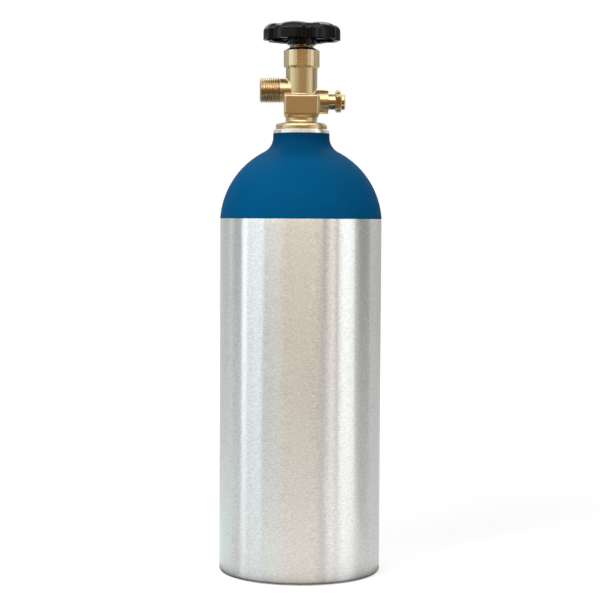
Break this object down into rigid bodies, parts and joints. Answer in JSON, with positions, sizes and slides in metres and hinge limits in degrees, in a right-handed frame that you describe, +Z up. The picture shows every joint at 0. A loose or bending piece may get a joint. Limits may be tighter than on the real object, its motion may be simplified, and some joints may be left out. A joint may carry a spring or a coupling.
{
  "type": "compressed gas cylinder with handwheel valve",
  "caption": "Small seamless aluminium gas cylinder with a blue shoulder, a brass side-outlet valve turned by a black lobed handwheel, and a burst-disc relief plug.",
  "frame": {"origin": "on the cylinder's axis, on the plane that its base stands on", "axes": "+Z up along the cylinder's axis, -X along the valve outlet, +X along the relief device"},
  "size_m": [0.1336, 0.1336, 0.4528],
  "materials": {
    "bare_aluminium": "bare, fine turned and brushed round the axis",
    "blue_enamel": "satin enamel",
    "forged_brass": "forged and machined, dull",
    "turned_brass": "turned, satin",
    "black_wheel": "moulded, glossy",
    "plated_steel": "zinc plated",
    "seal_rubber": "matte",
    "white_fluoroplastic": "matte, waxy",
    "seat_nylon": "matte",
    "soft_copper": "annealed copper, dull"
  },
  "bodies": {
    "tank": {"cylinder_shell": "bare_aluminium", "shoulder_paint": "blue_enamel", "neck_seal_ring": "seal_rubber", "valve_body": "forged_brass", "bonnet": "turned_brass", "bonnet_gasket": "soft_copper", "thrust_washer": "white_fluoroplastic", "relief_plug": "turned_brass", "rupture_disc": "soft_copper", "relief_gasket": "white_fluoroplastic"},
    "wheel": {"handwheel": "black_wheel", "handwheel_washer": "plated_steel", "handwheel_nut": "plated_steel", "spindle": "turned_brass", "spindle_seal_ring": "seal_rubber", "spindle_backup_ring": "white_fluoroplastic"},
    "plug": {"closing_plug": "turned_brass", "seat_disc": "seat_nylon"}
  },
  "joints": [
    {"name": "handwheel_turn", "type": "hinge", "parent": "tank", "child": "wheel", "pos_m": [0, 0, 0.43619], "axis": [0, 0, 1], "range_deg": [0, 720]},
    {"name": "plug_lift", "type": "slide", "parent": "wheel", "child": "plug", "axis": [0, 0, 1], "range_m": [0, 0.00363]}
  ],
  "couplings": [
    {"joint": "plug_lift", "follows": "handwheel_turn", "m_per_rad": 0.00028876}
  ]
}
